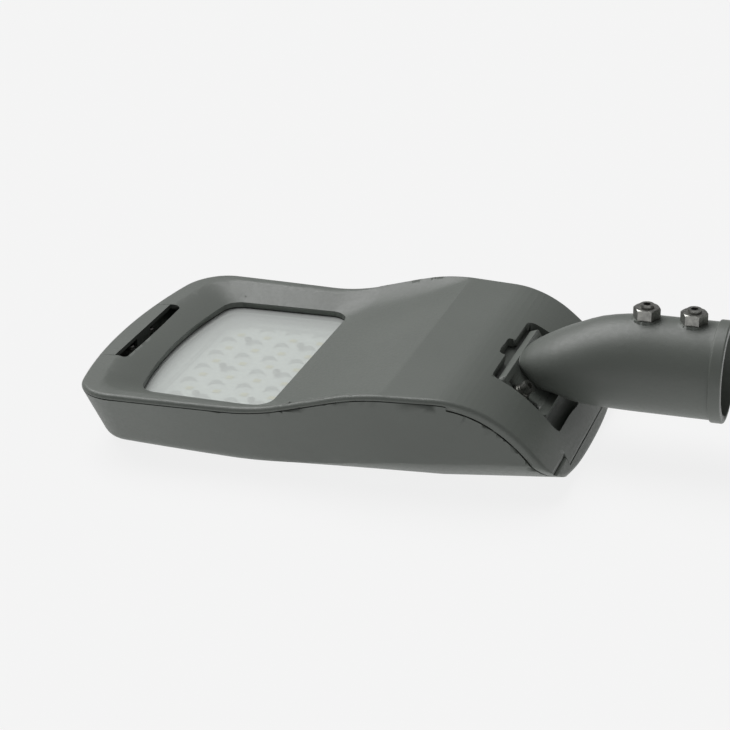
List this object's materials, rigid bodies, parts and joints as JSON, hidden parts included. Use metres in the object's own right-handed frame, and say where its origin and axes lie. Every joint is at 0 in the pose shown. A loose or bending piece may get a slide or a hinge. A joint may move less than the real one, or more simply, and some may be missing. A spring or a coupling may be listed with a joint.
{
  "type": "led street light head",
  "caption": "Street lamp head in a flat cast housing with a hinged, latched light cover, a sunk glass window and a tilting pole socket.",
  "frame": {"origin": "centre of the spigot bore's mouth", "axes": "+X out of the spigot along the bore, +Z towards the light face, Y = 0 the mirror plane"},
  "size_m": [0.4652, 0.2468, 0.1133],
  "materials": {
    "coat": "satin powder coat",
    "glass": "clear toughened",
    "clear": "clear moulded lens",
    "rubber": "matte",
    "steel": "plated",
    "board": "white solder mask",
    "phosphor": "diode",
    "white": "satin",
    "alu": "satin",
    "black": "matte"
  },
  "bodies": {
    "housing": {"housing": "coat", "latch_keeper": "steel", "keeper_screws": "steel", "hinge_pins": "steel", "led_board": "board", "led_chips": "phosphor", "lens_array": "clear", "led_screws": "steel", "light_shield": "white", "driver": "alu", "driver_screws": "steel", "surge_protector": "black", "terminal_block": "black", "cable_clamp": "black", "main_gasket": "rubber", "tilt_bolts": "steel", "tilt_washers": "steel", "tilt_spring_washers": "steel"},
    "cover": {"cover_frame": "coat", "window_glass": "glass", "window_gasket": "rubber", "glass_retainer": "steel", "retainer_screws": "steel", "latch_pin": "steel"},
    "latch": {"latch": "coat"},
    "spigot": {"spigot": "coat", "set_screws": "steel", "lock_nuts": "steel"}
  },
  "joints": [
    {"name": "cover_hinge", "type": "hinge", "parent": "housing", "child": "cover", "pos_m": [-0.1035, 0, -0.0573], "axis": [0, 1, 0], "range_deg": [0, 30]},
    {"name": "latch_flip", "type": "hinge", "parent": "cover", "child": "latch", "pos_m": [-0.459, 0, -0.023], "axis": [0, -1, 0], "range_deg": [0, 35]},
    {"name": "spigot_tilt", "type": "hinge", "parent": "housing", "child": "spigot", "pos_m": [-0.112, 0, 0.011], "axis": [0, 1, 0], "range_deg": [-12, 15]}
  ]
}
